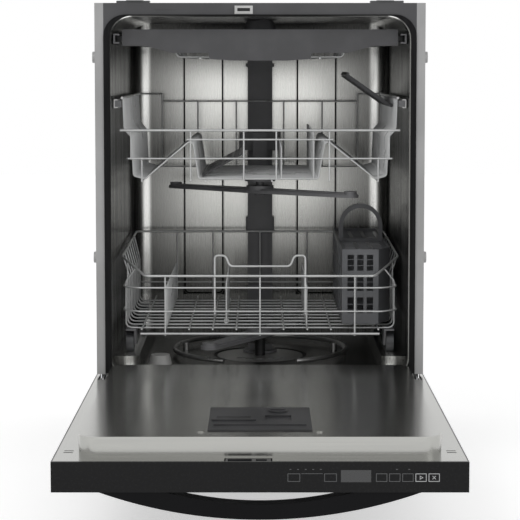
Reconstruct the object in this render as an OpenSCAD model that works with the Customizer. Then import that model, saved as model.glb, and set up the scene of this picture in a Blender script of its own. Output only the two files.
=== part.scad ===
// Built-in dishwasher, 600 mm class: steel tub, drop-down door, three racks, two spray arms.
// Modelled with the door lowered and the racks pushed home. Millimetres, +Z up, -Y is the front.

/* [Cabinet] */
// Width across the front frame
front_w = 600; // [590:1:620]
// Height of the front frame above the floor
frame_top = 864; // [850:1:880]
// Depth of the body behind the front frame
body_depth = 572; // [566:1:600]
// Width of the grey side frame seen beside the opening
trim_w = 16; // [14:1:20]
// Depth of the side frame
trim_depth = 24; // [16:1:30]
// Height of the dark frame above the opening
top_trim_h = 25; // [20:1:30]
// How far the side mounting buttons stand out
button_rise = 5; // [3:1:8]
// Diameter of a side mounting button
button_d = 22; // [16:1:26]
// Bore of a side mounting button
button_bore = 5; // [4:0.5:6]
// Height of the lower mounting buttons
button_low_z = 400; // [350:5:450]
// Height of the upper mounting buttons
button_high_z = 766; // [700:2:790]

/* [Base] */
// Height of the levelling legs under the base
leg_h = 24; // [20:1:40]
// Diameter of a leg's foot
foot_d = 36; // [30:1:44]
// Height of the base rails
rail_h = 34; // [26:1:40]
// Width of the base rails
rail_w = 26; // [20:1:30]
// How far the toe kick stands back from the front frame
toe_back = 45; // [42:1:52]
// Height of the toe kick's top edge
toe_top = 116; // [100:1:118]

/* [Tub] */
// Thickness of the tub's sheet
tub_wall = 2; // [1.5:0.5:3]
// Width of the black gasket seen beside the opening
gasket_w = 12; // [10:0.5:13]
// Height of the tub floor
floor_z = 176; // [170:1:180]
// Height of the sill below the opening
sill_z = 191; // [188:1:196]
// Radius of the opening's corners
corner_r = 40; // [30:1:46]
// Radius of the tub's back corners
back_r = 36; // [28:1:44]
// Room behind the tub's back wall
back_room = 12; // [10:1:24]
// Width of a pressed groove in the back wall
groove_w = 3.5; // [2.5:0.5:5]
// Thickness of the insulation blanket
blanket_t = 5; // [3:1:5]

/* [Door] */
// How far the door stands past the side frame on each side
door_over = 3; // [1:0.5:4]
// Thickness of the door shell
door_t = 45; // [42:1:46]
// Rise of the inner pan above the shell
pan_rise = 30; // [28:1:31]
// Room between the inner pan and the tub's walls
pan_gap = 4; // [4:0.5:7]
// Corner radius of the inner pan
pan_r = 28; // [20:1:36]
// Sheet thickness of the door skins
skin = 2; // [1.5:0.5:2.5]
// Height of the hinge pin above the floor
hinge_z = 172; // [171:1:173]
// How far the hinge pin lies in front of the frame
hinge_out = 12; // [12:1:14]
// Length of the door above the hinge pin
door_len = 690; // [680:1:691]
// Length of the door below the hinge pin
door_tail = 50; // [44:1:51]
// Diameter of the hinge pins
pin_d = 8; // [6:1:9]

/* [Handle] */
// Span of the bowed handle
handle_span = 472; // [430:2:500]
// How far the handle bows out
handle_bow = 41; // [36:1:48]
// Span of the finger gap behind the handle
gap_span = 278; // [250:2:300]
// Depth of the finger gap
gap_depth = 19; // [15:1:22]
// Width of the handle bar along the door
handle_t = 28; // [22:1:34]

/* [Racks] */
// Room between the front frame and the racks when home
rack_front = 38; // [36:1:40]
// Length of the racks from front to back
rack_depth = 482; // [478:1:484]
// Diameter of the rack wires
wire_d = 3.2; // [2.8:0.2:3.6]
// Diameter of the rim wires
rim_d = 4.6; // [4:0.2:5.2]
// Diameter of the lower rack's wheels
wheel_d = 38; // [34:1:40]
// Height of the lower rack's floor wires
lower_floor_z = 262; // [262:1:264]
// Height of the lower rack's front rim
lower_front_rim_z = 362; // [356:1:368]
// Height of the lower rack's rear rim
lower_back_rim_z = 400; // [392:1:402]
// Height of the upper rack's floor wires
upper_floor_z = 541; // [539:1:545]
// Height of the upper rack's side rims
upper_rim_z = 697; // [690:1:700]
// Height of the third rack's rim
third_rim_z = 817; // [810:1:818]
// Depth of the third rack's front panel at its ends
third_panel_h = 30; // [26:1:34]

/* [Spray] */
// Length of the upper spray arm
upper_arm_len = 468; // [440:2:470]
// Length of the lower spray arm
lower_arm_len = 440; // [420:2:440]
// Width of the water column
column_w = 52; // [46:1:58]
// How far the water column stands off the back wall
column_t = 28; // [24:1:30]
// Turn of the upper spray arm at rest
upper_arm_turn = -38; // [-45:1:-30]
// Turn of the lower spray arm at rest
lower_arm_turn = 62; // [50:1:70]

/* [Basket] */
// Length of the silverware basket
basket_len = 430; // [420:2:440]
// Width of the silverware basket
basket_w = 92; // [88:1:94]
// Height of the silverware basket's walls
basket_h = 140; // [130:1:150]

/* [Hidden] */
$fn = 48;
clear = 0.3;
key_rise = 0.4;
run = 0.08;
body_front = (door_len + hinge_out + key_rise - body_depth) / 2;
opening_top = frame_top - top_trim_h;
back_y = body_depth - back_room;
half_front = front_w / 2;
half_tub = half_front - trim_w - gasket_w;
pan_half = half_tub - pan_gap;
float_x = half_tub - 82;
float_y = 120;
sill_depth = 42;
track_w = 46;
track_front = sill_depth;
toe_bottom = 9;
track_z = floor_z + 35.5;
leg_y = [toe_back + 6 + rail_w / 2, body_depth - foot_d / 2];
door_top_y = -hinge_out - door_len;
door_tail_y = -hinge_out + door_tail;
flange_z = hinge_z + 8;
skin_z = flange_z - door_t;
pan_z = flange_z + pan_rise;
pan_y0 = -hinge_out - 33;
pan_y1 = -hinge_out - 658;
notch_x0 = half_front - 17;
notch_x1 = half_front - 4;
bracket_x = half_front - 14;
worktop_x = half_tub - 45;
arm_x = half_front - 9;
plate_t = 3;
fascia_t = 3;
half_door = half_front + door_over;
rack_back = rack_front + rack_depth;
hub_y = rack_front + rack_depth / 2;
lower_half = half_tub - 20;
lower_rim_half = half_tub - 8;
front_half = lower_half - 40;
upper_half = half_tub - 18;
third_half = half_tub - 19;
wall_pitch = 43;
floor_pitch = 44;
tine_pitch = 25;
dispenser_y = [-628, -456];
wheel_r = wheel_d / 2;
wheel_z = track_z + clear + wheel_r;
wheel_x = half_tub - 27;
wheel_t = 14;
axle_d = 7;
wheel_y = [rack_front + 62, rack_back - 80];
carrier_top = lower_floor_z - 1.5 * wire_d;
column_y = back_y - column_t;
basket_x1 = lower_half - 2 * wire_d;
basket_x0 = basket_x1 - basket_w;
basket_y0 = rack_front + 28;
basket_z0 = lower_floor_z + 2 * wire_d + clear;
basket_z1 = basket_z0 + basket_h;
display_x = [117, 161];
key_spans = [[40, 58], [93, 111], [168, 184], [187, 203], [206, 222], [225, 241], [244, 260]];

// ---------- helpers ----------

// Places what is drawn from the front frame's plane
module from_front() { translate([0, body_front, 0]) children(); }

// Draws the children on both sides
module both_sides()
{
    children();
    mirror([1, 0, 0]) children();
}

// Block between two corners
module block(a, b) { translate(a) cube(b - a); }

// Rectangle from corner to corner with round corners
module rounded(a, b, r)
{
    translate([a[0] + r, a[1]]) square([b[0] - a[0] - 2 * r, b[1] - a[1]]);
    translate([a[0], a[1] + r]) square([b[0] - a[0], b[1] - a[1] - 2 * r]);
    for (x = [a[0] + r, b[0] - r], y = [a[1] + r, b[1] - r]) translate([x, y]) circle(r = r);
}

// Extrudes an X-Z outline along Y from y0 to y1
module along_y(y0, y1) { translate([0, y1, 0]) rotate([90, 0, 0]) linear_extrude(y1 - y0) children(); }

// Extrudes a Y-Z outline along X from x0 to x1
module along_x(x0, x1)
{
    translate([x0, 0, 0]) rotate([90, 0, 90]) linear_extrude(x1 - x0) children();
}

// Straight round wire
module wire(a, b, d)
{
    v = b - a;
    translate(a)
        rotate([0, acos(v[2] / norm(v)), atan2(v[1], v[0])])
            cylinder(h = norm(v), d = d, $fn = 16);
}

// Side step of a line at each of its points, for a strip of even width
function normal(a, b) = [a[1] - b[1], b[0] - a[0]] / norm(b - a);
function before(p, i) = i == 0 ? normal(p[0], p[1]) : normal(p[i - 1], p[i]);
function after(p, i) = i == len(p) - 1 ? normal(p[i - 1], p[i]) : normal(p[i], p[i + 1]);
function step(p, i) = (before(p, i) + after(p, i)) / (1 + before(p, i) * after(p, i));

// Flat outline of a wire bent along points
module bent(p, w)
{
    last = len(p) - 1;
    polygon(concat([for (i = [0 : last]) p[i] + step(p, i) * w / 2],
                   [for (i = [last : -1 : 0]) p[i] - step(p, i) * w / 2]));
}

// ---------- body ----------

// Room inside the tub, grown by g
module tub_room(g, y0)
{
    intersection()
    {
        along_y(y0, back_y + g)
            rounded([-half_tub - g, floor_z - g], [half_tub + g, opening_top + g], corner_r + g);
        translate([0, 0, floor_z - g])
            linear_extrude(opening_top - floor_z + 2 * g)
                rounded([-half_tub - g, y0 - 2 * back_r], [half_tub + g, back_y + g], back_r + g);
    }
}

// Outline of a pressed panel in the back wall
module pressed_panel(inset)
{
    rounded([78 + inset, 262 + inset], [163 - inset, opening_top - 30 - inset], 12 - inset);
}

module tub()
{
    color("gainsboro") from_front() difference()
    {
        union()
        {
            difference()
            {
                tub_room(tub_wall, 0);
                tub_room(0, -10);
                block([-half_front, -5, 0], [half_front, sill_depth, sill_z - 9]);
            }
            block([-half_tub + 12, 0, sill_z - 9], [half_tub - 12, sill_depth + tub_wall, sill_z]);
            both_sides() difference()
            {
                block([half_tub - track_w, track_front, floor_z - 1], [half_tub, back_y - back_r, track_z]);
                block([half_tub - track_w + 3, track_front + 3, floor_z - 2],
                      [half_tub - 1, back_y - back_r - 3, track_z - 3]);
                translate([half_tub, 0, floor_z - 20])
                    rotate([0, -40, 0]) block([0, track_front - 1, -40], [60, back_y, 20]);
            }
            along_y(back_y - 2, back_y + tub_wall)
                both_sides() pressed_panel(-1);
        }
        both_sides() along_y(back_y - 3, back_y - 0.2) difference()
        {
            pressed_panel(0);
            pressed_panel(groove_w);
        }
        translate([0, hub_y, floor_z - 10]) cylinder(h = 20, r = 92, $fn = 64);
        for (x = [-150, 150]) translate([x, hub_y + 60, floor_z - 10]) cylinder(h = 20, d = 12.6);
        translate([-float_x, float_y, floor_z - 10]) cylinder(h = 20, d = 13.6);
        translate([0, column_y + column_t / 2 - 2, floor_z - 10]) cylinder(h = 20, d = 22.6);
    }
}

module insulation_blanket()
{
    gap = tub_wall + clear;
    color("dimgray") from_front() difference()
    {
        tub_room(gap + blanket_t, 44);
        tub_room(gap, 30);
        block([-half_front, 0, 0], [half_front, body_depth, floor_z + 30]);
    }
}

module side_frame()
{
    color("darkgray") from_front() both_sides() difference()
    {
        union()
        {
            block([half_front - trim_w, 0, flange_z + 5], [half_front, 2, frame_top]);
            block([half_front - 2, 0, flange_z + 5], [half_front, trim_depth, frame_top]);
            block([half_front - trim_w, trim_depth - 2, flange_z + 5], [half_front, trim_depth, frame_top]);
            for (z = [button_low_z, button_high_z]) translate([half_front - 1, button_d / 2 + 3, z])
                rotate([0, 90, 0]) cylinder(h = 1 + button_rise, d1 = button_d, d2 = button_d - 2);
        }
        for (z = [button_low_z, button_high_z]) translate([half_front - 10, button_d / 2 + 3, z])
            rotate([0, 90, 0]) cylinder(h = 30, d = button_bore);
    }
}

module top_frame()
{
    inner = half_front - trim_w;
    color([0.28, 0.28, 0.29]) from_front() difference()
    {
        union()
        {
            difference()
            {
                block([-inner, 0, opening_top - corner_r], [inner, 2.5, frame_top]);
                along_y(-1, 4)
                    rounded([-half_tub - gasket_w, opening_top - 4 * corner_r],
                            [half_tub + gasket_w, opening_top + 4], corner_r);
            }
            block([-inner, 0, frame_top - 2], [inner, trim_depth, frame_top]);
            for (x = [-half_tub + 12, half_tub - 72])
                block([x, 0, frame_top - 1], [x + 60, trim_depth, frame_top + 4]);
        }
        block([-190, -1, opening_top + 8], [-155, 1, opening_top + 13]);
        for (x = [-worktop_x, worktop_x]) translate([x, 12, frame_top - 3]) cylinder(h = 8, d = 7);
    }
}

module door_gasket()
{
    color([0.07, 0.07, 0.07]) from_front() difference()
    {
        along_y(-4 + clear, 10) difference()
        {
            rounded([-half_tub - gasket_w, sill_z - 80], [half_tub + gasket_w, opening_top + 4], corner_r);
            rounded([-half_tub - tub_wall, sill_z - 90], [half_tub + tub_wall, opening_top + tub_wall],
                    corner_r + tub_wall);
            translate([-half_front, 0]) square([2 * half_front, sill_z - 4]);
        }
        along_x(-half_front, half_front) translate([-1.2, opening_top + 40]) square([0.8, 60]);
    }
}

module base_frame()
{
    z0 = leg_h;
    x1 = half_front - 4;
    color("slategray") from_front() difference()
    {
        union()
        {
            both_sides()
            {
                block([x1 - rail_w, toe_back + 6, z0], [x1, body_depth - 2, z0 + rail_h]);
                for (y = [toe_back + 6, body_depth - 42])
                {
                    block([x1 - plate_t, y, z0 + rail_h - 1], [x1, y + 40, floor_z + 40]);
                }
                for (y = [toe_back + 28, body_depth - 40])
                    block([half_tub - 60, y, floor_z - tub_wall - 3], [x1, y + 16, floor_z - tub_wall]);
                block([x1 - plate_t, trim_depth, flange_z + 6], [x1, toe_back + 20, floor_z + 40]);
            }
            block([-x1 + 1, toe_back + 6, z0], [x1 - 1, toe_back + 6 + rail_w, z0 + rail_h]);
            block([-x1 + 1, body_depth - 2 - rail_w, z0], [x1 - 1, body_depth - 2, z0 + rail_h]);
            block([-x1 + 1, body_depth - 4, z0 + rail_h - 1], [x1 - 1, body_depth - 2, floor_z - 30]);
        }
        both_sides()
        {
            block([x1 - rail_w + 2, toe_back + 8, z0 + 2], [x1 - 2, body_depth - 4, z0 + rail_h + 0.5]);
            for (y = leg_y)
                translate([x1 - rail_w / 2, y, z0 - 1]) cylinder(h = 10, d = 10);
        }
        for (y = [toe_back + 8, body_depth - rail_w])
            block([-x1 + rail_w, y, z0 + 2], [x1 - rail_w, y + rail_w - 4, z0 + rail_h + 0.5]);
    }
}

module levelling_legs()
{
    x = half_front - 4 - rail_w / 2;
    color("silver") from_front() both_sides()
        for (y = leg_y) translate([x, y, 0])
        {
            cylinder(h = 7, d1 = foot_d, d2 = foot_d - 6);
            translate([0, 0, 6]) cylinder(h = leg_h - 6 - 4, d = 16, $fn = 6);
            cylinder(h = leg_h + rail_h - 6, d = 9.8);
        }
}

module toe_kick()
{
    color([0.09, 0.09, 0.1]) from_front() difference()
    {
        union()
        {
            block([-half_front + 2, toe_back, toe_bottom], [half_front - 2, toe_back + 2, toe_top]);
            block([-half_front + 2, toe_back, toe_bottom], [half_front - 2, toe_back + 5, toe_bottom + 2]);
            block([-half_front + 2, toe_back, toe_top - 2], [half_front - 2, toe_back + 5, toe_top]);
            both_sides() block([half_front - 56, toe_back + 1, leg_h + 6], [half_front - 30, toe_back + 6, leg_h + 28]);
        }
        for (x = [-half_front + 43, half_front - 43]) translate([x, toe_back - 1, leg_h + 17])
            rotate([-90, 0, 0]) cylinder(h = 10, d = 5);
    }
}

module worktop_brackets()
{
    color("silver") from_front() both_sides() difference()
    {
        union()
        {
            block([worktop_x - 15, trim_depth, frame_top - 20], [worktop_x + 15, trim_depth + 2, frame_top + 4]);
            block([worktop_x - 15, -6, frame_top + 4], [worktop_x + 15, trim_depth + 2, frame_top + 6]);
        }
        translate([worktop_x, 12, frame_top]) cylinder(h = 10, d = 5);
    }
}

module hinge_brackets()
{
    color("silver") from_front() both_sides()
    {
        difference()
        {
            union()
            {
                block([bracket_x, -hinge_out, hinge_z - 10], [bracket_x + plate_t, toe_back + 25, hinge_z + 10]);
                block([bracket_x, toe_back + 6, leg_h + rail_h], [bracket_x + plate_t, toe_back + 25, hinge_z + 10]);
                translate([bracket_x, -hinge_out, hinge_z])
                    rotate([0, 90, 0]) cylinder(h = plate_t, r = 10);
                block([bracket_x, toe_back + 8, leg_h + rail_h + 10], [half_front - 4 - plate_t, toe_back + 25, hinge_z]);
            }
            translate([bracket_x - 1, toe_back + 16, hinge_z - 30])
                rotate([0, 90, 0]) cylinder(h = 20, d = 6);
        }
        translate([bracket_x - 3, -hinge_out, hinge_z]) rotate([0, 90, 0]) cylinder(h = 13, d = pin_d);
    }
}

module latch_strike()
{
    color("silver") from_front() difference()
    {
        union()
        {
            block([-44, -12, opening_top + 7], [-15, 0, opening_top + 18]);
            block([-46, -2, opening_top + 5], [-13, 0, opening_top + 20]);
        }
        block([-41, -13, opening_top + 9.5], [-18, 1, opening_top + 15.5]);
    }
}

module water_column()
{
    x = column_w / 2;
    color([0.2, 0.2, 0.21]) from_front() union()
    {
        along_y(column_y, back_y - clear)
            rounded([-x, floor_z + 26], [x, opening_top - 12], 8);
        along_y(column_y - 4, column_y + 1) rounded([-x + 9, floor_z + 40], [x - 9, opening_top - 30], 5);
        for (z = [395, 748, 775, 800]) both_sides()
            block([x - 1, column_y + 8, z], [x + 4, column_y + 16, z + (z < 400 ? 34 : 7)]);
        translate([0, column_y + column_t / 2 - 2, floor_z - 8]) cylinder(h = 40, r = 11);
    }
}

module docking_port()
{
    x = column_w / 2;
    color([0.16, 0.16, 0.17]) from_front() difference()
    {
        union()
        {
            both_sides() block([x + clear, column_y - 1, 572], [x + 18, back_y - 8, 610]);
            along_y(column_y - 14, column_y - 4 - clear) rounded([-x - 18, 572], [x + 18, 610], 8);
            both_sides() block([x + 6, column_y - 6, 574], [x + 18, column_y, 608]);
            translate([0, column_y - 4 - clear, 591]) rotate([90, 0, 0]) cylinder(h = 14, r = 20);
        }
        translate([0, column_y - 6, 591]) rotate([90, 0, 0]) cylinder(h = 20, r = 15);
    }
}

module ceiling_spray_head()
{
    color([0.2, 0.2, 0.21]) from_front()
    {
        z = opening_top;
        along_x(-9, 9) bent([[column_y - clear, z - 16], [column_y - 14, z - 16], [column_y - 26, z - 11],
                             [hub_y + 20, z - 11]], 9);
        translate([0, hub_y, z - 20]) difference()
        {
            cylinder(h = 19.7, r1 = 34, r2 = 26);
            for (a = [0 : 45 : 315]) rotate(a) translate([22, 0, -1]) cylinder(h = 3, d = 4);
        }
    }
}

module sump()
{
    color([0.15, 0.15, 0.16]) from_front() difference()
    {
        union()
        {
            translate([0, hub_y, floor_z - 5]) cylinder(h = 3 - clear, r = 108);
            translate([0, hub_y, 96]) cylinder(h = floor_z - 98, r = 91);
            translate([0, hub_y + 60, 52]) cylinder(h = 50, r = 46);
            translate([0, hub_y - 70, 118]) rotate([90, 0, 0]) cylinder(h = 44, r = 24);
        }
        translate([0, hub_y, 101]) cylinder(h = 100, r = 86);
        translate([0, hub_y - 60, 118]) rotate([90, 0, 0]) cylinder(h = 60, r = 19);
    }
    color([0.15, 0.15, 0.16]) from_front() translate([0, hub_y, 100])
    {
        cylinder(h = track_z - 98, r = 10);
        cylinder(h = track_z - 98 + 20, r = 8);
        translate([0, 0, track_z - 98 + 17.5]) cylinder(h = 4, r1 = 14, r2 = 11);
    }
}

module filter_plate()
{
    color("silver") from_front() difference()
    {
        translate([0, hub_y, floor_z - 6]) cylinder(h = 5, r = 85);
        translate([0, hub_y, floor_z - 8]) cylinder(h = 10, r = 10 + clear);
        translate([0, hub_y + 48, floor_z - 8]) cylinder(h = 10, r = 30 + clear);
        for (a = [-120 : 24 : -24]) translate([0, hub_y, floor_z - 8])
            rotate(a - 18) translate([50, 0, 0]) cylinder(h = 10, r = 9);
    }
}

module filter_cylinder()
{
    color("gray") from_front() translate([0, hub_y + 48, 0])
    {
        difference()
        {
            translate([0, 0, 104]) cylinder(h = floor_z - 102, r = 28);
            translate([0, 0, 107]) cylinder(h = floor_z, r = 25);
            for (a = [0 : 60 : 300], z = [116, 140]) rotate(a)
                block([20, -7, z], [40, 7, z + 14]);
        }
        difference()
        {
            translate([0, 0, floor_z - 1 + clear]) cylinder(h = 4, r = 34);
            translate([0, 0, floor_z - 3]) cylinder(h = 10, r = 22);
        }
        block([-24, -4, floor_z + 2], [24, 4, floor_z + 14]);
    }
}

module heater_element()
{
    r = 170;
    color("lightgray") from_front() translate([0, hub_y, floor_z + 13])
    {
        rotate([0, 0, -66]) rotate_extrude(angle = 312) translate([r, 0]) circle(d = 9, $fn = 24);
        for (x = [-150, 150]) translate([x, 60, -31]) cylinder(h = 32, d = 12);
    }
}

module circulation_pump()
{
    color([0.22, 0.22, 0.23]) from_front() translate([0, hub_y - 114 - clear, 118])
    {
        rotate([90, 0, 0]) cylinder(h = 22, r = 34);
        translate([0, -21, 0]) rotate([90, 0, 0]) cylinder(h = 66, r = 29);
        translate([0, -86, 0]) rotate([90, 0, 0]) cylinder(h = 9, r = 20);
    }
}

module drain_pump()
{
    color([0.3, 0.3, 0.3]) from_front() translate([46 + clear, hub_y + 60, 73])
    {
        rotate([0, 90, 0]) difference()
        {
            union()
            {
                cylinder(h = 20, r = 22);
                translate([0, 0, 19]) cylinder(h = 44, r = 18);
            }
            translate([0, 0, 62]) cylinder(h = 4, r = 5);
        }
        difference()
        {
            union()
            {
                translate([10, 0, 0]) rotate([-90, 0, 0]) cylinder(h = 62, d = 19);
                translate([10, 18, 0]) rotate([-90, 0, 0]) cylinder(h = 7, d = 23);
            }
            translate([10, 28, 0]) rotate([-90, 0, 0]) cylinder(h = 60, d = 14);
        }
    }
}

module inlet_valve()
{
    color([0.85, 0.85, 0.82]) from_front() translate([-half_front + 60, toe_back + 32 + clear, leg_h + 14])
    {
        block([-18, 0, 0], [18, 46, 34]);
        translate([0, 23, 33]) cylinder(h = 26, r = 13);
        difference()
        {
            translate([0, 45, 17]) rotate([-90, 0, 0]) cylinder(h = 24, d = 26);
            translate([0, 50, 17]) rotate([-90, 0, 0]) cylinder(h = 30, d = 20);
        }
    }
}

module junction_box()
{
    x = half_front - 110;
    color("silver") from_front() difference()
    {
        block([x, toe_back + 32 + clear, leg_h + 4], [x + 76, toe_back + 88, leg_h + 54]);
        block([x + 2, toe_back + 34.5, leg_h + 6], [x + 74, toe_back + 86, leg_h + 52]);
        translate([x + 38, toe_back + 80, leg_h + 29]) rotate([-90, 0, 0]) cylinder(h = 20, d = 22);
    }
}

module upper_rack_rails()
{
    z = upper_rim_z - 24;
    color("silver") from_front() both_sides()
    {
        difference()
        {
            block([half_tub - 10, rack_front, z], [half_tub - 3, rack_back, z + 16]);
            block([half_tub - 11, rack_front - 1, z + 2], [half_tub - 5, rack_back + 1, z + 14]);
        }
        for (y = [rack_front + 40, rack_back - 90]) translate([half_tub - 3, y, z + 8])
            rotate([0, 90, 0]) cylinder(h = 3 - clear, d = 14);
    }
}

module third_rack_rails()
{
    z = third_rim_z - 26;
    color([0.25, 0.25, 0.26]) from_front() both_sides()
    {
        difference()
        {
            block([half_tub - 14, rack_front, z], [half_tub - 3, rack_back, z + 18]);
            block([half_tub - 15, rack_front - 1, z + 3], [half_tub - 6, rack_back + 1, z + 15]);
        }
        for (y = [rack_front + 40, rack_back - 90]) translate([half_tub - 3, y, z + 9])
            rotate([0, 90, 0]) cylinder(h = 3 - clear, d = 12);
    }
}

// ---------- door, lowered ----------

// Notches that let the hinge brackets into the door
module hinge_notch(z0, z1)
{
    both_sides() block([notch_x0, -hinge_out - 18, z0], [notch_x1, door_tail_y + 1, z1]);
}

module outer_door_panel()
{
    y0 = door_top_y + fascia_t;
    inner = half_door - skin;
    color([0.08, 0.08, 0.09]) from_front() difference()
    {
        block([-half_door, y0, skin_z], [half_door, door_tail_y, flange_z]);
        block([-inner, y0 + skin, skin_z + skin], [inner, door_tail_y - skin, flange_z + 1]);
        block([-50 - clear, y0 - 1, flange_z - 15 - clear], [16 + clear, y0 + skin + 1, flange_z + 1]);
        hinge_notch(hinge_z - 14, flange_z + 1);
    }
}

// Pan of the inner door, shrunk by s
module pan(s, z1)
{
    translate([0, 0, flange_z - 5])
        linear_extrude(z1 - flange_z + 5)
            rounded([-pan_half + s, pan_y1 + s], [pan_half - s, pan_y0 - s], pan_r - s);
}

module inner_door_panel()
{
    y0 = door_top_y + fascia_t + skin;
    inner = half_door - skin;
    color("gainsboro") from_front() difference()
    {
        union()
        {
            block([-inner, y0, flange_z - skin], [inner, door_tail_y - skin, flange_z]);
            pan(0, pan_z);
            both_sides() translate([0, 0, pan_z - 1]) linear_extrude(3)
                rounded([83.5, dispenser_y[0] - 12], [92.5, dispenser_y[1] + 16], 4);
        }
        difference()
        {
            pan(skin, pan_z - skin);
        }
        block([-inner - 1, y0 - 1, flange_z - skin - 20], [inner + 1, door_tail_y, flange_z - skin]);
        block([-78 - clear, dispenser_y[0] - clear, pan_z - 10], [78 + clear, dispenser_y[1] + clear, pan_z + 10]);
        block([-52, door_top_y, flange_z - 10], [18, door_top_y + 24, flange_z + 1]);
        for (x = [-half_door + 12, half_door - 26], y = [door_top_y + 60, door_top_y + 72])
            block([x, y, flange_z - 10], [x + 14, y + 4, flange_z + 1]);
        hinge_notch(flange_z - 10, flange_z + 1);
    }
}

module control_console()
{
    color([0.06, 0.06, 0.07]) from_front() difference()
    {
        block([-half_door, door_top_y, skin_z], [half_door, door_top_y + fascia_t, flange_z]);
        block([display_x[0], door_top_y - 1, flange_z - 30], [display_x[1], door_top_y + 1.5, flange_z - 12]);
        block([-50 - clear, door_top_y + 0.8, flange_z - 16], [16 + clear, door_top_y + 5, flange_z + 1]);
    }
}

module display_window()
{
    color([0.25, 0.26, 0.28]) from_front()
        block([display_x[0] + 0.1, door_top_y + 0.2, flange_z - 29.9],
              [display_x[1] - 0.1, door_top_y + 1.5, flange_z - 12.1]);
}

module touch_keys()
{
    color([0.1, 0.1, 0.11]) from_front()
        for (k = key_spans) block([k[0], door_top_y - key_rise, flange_z - 30], [k[1], door_top_y, flange_z - 16]);
}

// Radius of an arc with a given chord and rise
function arc_r(chord, rise) = (chord * chord / 4 + rise * rise) / (2 * rise);

module door_handle()
{
    outer = arc_r(handle_span, handle_bow);
    inner = arc_r(gap_span, gap_depth);
    color([0.07, 0.07, 0.07]) from_front()
        along_y(door_top_y + fascia_t, door_top_y + fascia_t + handle_t) difference()
        {
            intersection()
            {
                translate([0, skin_z - handle_bow + outer]) circle(r = outer, $fn = 256);
                translate([-handle_span, skin_z - 2 * handle_bow]) square([2 * handle_span, 2 * handle_bow]);
            }
            translate([0, skin_z - gap_depth + inner]) circle(r = inner, $fn = 256);
        }
}

module door_latch()
{
    y0 = door_top_y + 1;
    y1 = door_top_y + 22;
    color([0.15, 0.15, 0.16]) from_front() difference()
    {
        block([-50, y0, flange_z - 15], [16, y1, flange_z]);
        block([-47, y0 + 2.5, flange_z - 13], [-12, y1 - 2, flange_z + 1]);
        block([-6, y0 + 5, flange_z - 3], [10, y1 - 4, flange_z + 2]);
    }
}

module hinge_arms()
{
    color("silver") from_front() both_sides() difference()
    {
        union()
        {
            block([arm_x, -230, skin_z + skin], [arm_x + plate_t, -hinge_out - 10, flange_z - skin]);
            translate([arm_x, -hinge_out, hinge_z]) rotate([0, 90, 0]) cylinder(h = plate_t, r = 12);
            block([arm_x, -hinge_out - 20, skin_z + skin], [arm_x + plate_t, -hinge_out, hinge_z - 2]);
        }
        translate([arm_x - 1, -hinge_out, hinge_z]) rotate([0, 90, 0]) cylinder(h = plate_t + 2, d = pin_d + 2 * run);
        block([arm_x - 1, -hinge_out - 14, flange_z - skin], [arm_x + plate_t + 1, 20, flange_z + 20]);
    }
}

module dispenser_body()
{
    z = pan_z + 2;
    color([0.17, 0.17, 0.18]) from_front() difference()
    {
        block([-78, dispenser_y[0], pan_z - 26], [78, dispenser_y[1], z]);
        block([-70, -560, pan_z - 20], [-10, -480, z + 1]);
        block([8, -560, z - 3], [48, -520, z + 1]);
        translate([28, -488, pan_z - 8]) cylinder(h = 20, d = 26);
        block([-70, -618, z - 1.5], [70, -590, z + 1]);
    }
}

module dispenser_lid()
{
    z = pan_z + 2 + clear;
    color([0.13, 0.13, 0.14]) from_front() difference()
    {
        block([-74, -564, z], [-6, -476, z + 2]);
        for (i = [0 : 3]) block([-66, -556 + 5 * i, z + 1], [-14, -554 + 5 * i, z + 3]);
    }
}

module rinse_aid_cap()
{
    z = pan_z + 2;
    color([0.2, 0.2, 0.22]) from_front() translate([28, -488, z])
    {
        translate([0, 0, -8]) cylinder(h = 9, d = 25.4);
        translate([0, 0, clear]) cylinder(h = 2.2, d = 31);
        block([-12, -1.6, 2], [12, 1.6, 4]);
    }
}

// ---------- lower rack ----------

wall_y = [for (i = [0 : floor((rack_depth - 80) / wall_pitch)]) rack_front + 44 + wall_pitch * i];
floor_count = floor((lower_half - 8) / floor_pitch);
tine_places = [-4, 0, 2];
last_tine = floor((rack_depth - 90) / tine_pitch);

module lower_rack_floor()
{
    z = lower_floor_z;
    color("silver") from_front()
    {
        for (n = [-floor_count : floor_count]) if (len(search(n, tine_places)) == 0)
            wire([n * floor_pitch, rack_front + 3, z], [n * floor_pitch, rack_back - 3, z], wire_d);
        for (y = wall_y) wire([-lower_half + 8, y, z - wire_d + 0.3], [lower_half - 8, y, z - wire_d + 0.3], wire_d);
    }
}

module lower_rack_tines()
{
    z = lower_floor_z + 0.3 + clear;
    color("silver") from_front() for (n = tine_places)
    {
        x = n * floor_pitch;
        wire([x, rack_front + 44, z], [x, rack_back - 40, z], wire_d);
        for (i = [0 : last_tine])
        {
            y = rack_front + 52 + tine_pitch * i;
            block([x - 1.4, y, z], [x + 1.4, y + 3, z + (n == 0 ? 58 : 76)]);
        }
    }
}

module lower_rack_front()
{
    y = rack_front;
    top = lower_front_rim_z;
    loop_top = lower_back_rim_z;
    color("silver") from_front()
    {
        wire([-front_half, y, top], [front_half, y, top], rim_d);
        for (z = [top - 22, top - 66]) wire([-front_half - 13, y, z], [front_half + 13, y, z], wire_d);
        wire([-front_half - 10, y, lower_floor_z - 8], [front_half + 10, y, lower_floor_z - 8], rim_d);
        for (x = [-4, 0, 4] * floor_pitch) wire([x, y + 1.2, lower_floor_z - 12], [x, y + 1.2, top + 1], wire_d);
        along_y(y + 1.2, y + 1.2 + wire_d)
            bent([[-84, top - 72], [-84, loop_top], [-64, loop_top], [-56, loop_top - 20], [56, loop_top - 20],
                  [64, loop_top], [84, loop_top], [84, top - 72]], wire_d);
    }
}

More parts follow.
